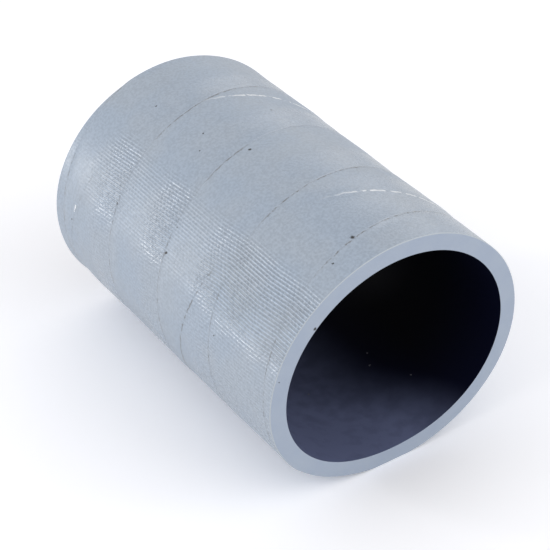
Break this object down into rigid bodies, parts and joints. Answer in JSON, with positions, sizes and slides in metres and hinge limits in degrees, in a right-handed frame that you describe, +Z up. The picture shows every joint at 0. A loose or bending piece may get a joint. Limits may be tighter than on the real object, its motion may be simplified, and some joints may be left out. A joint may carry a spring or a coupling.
{
  "type": "connecting hose",
  "caption": "Short straight piece of rubber hose lying on its side, with a smooth open bore, plain cut ends and a spiral tape mark round the outside.",
  "frame": {"origin": "bottom centre of the bounding box, at the height of the surface that the hose lies on", "axes": "+Y along the bore, from the near cut end to the far one; +Z up; +X across the hose"},
  "size_m": [0.0728, 0.1022, 0.065],
  "materials": {
    "hose_rubber": "matt, cured under woven tape"
  },
  "bodies": {
    "root": {"hose": "hose_rubber"}
  },
  "joints": []
}
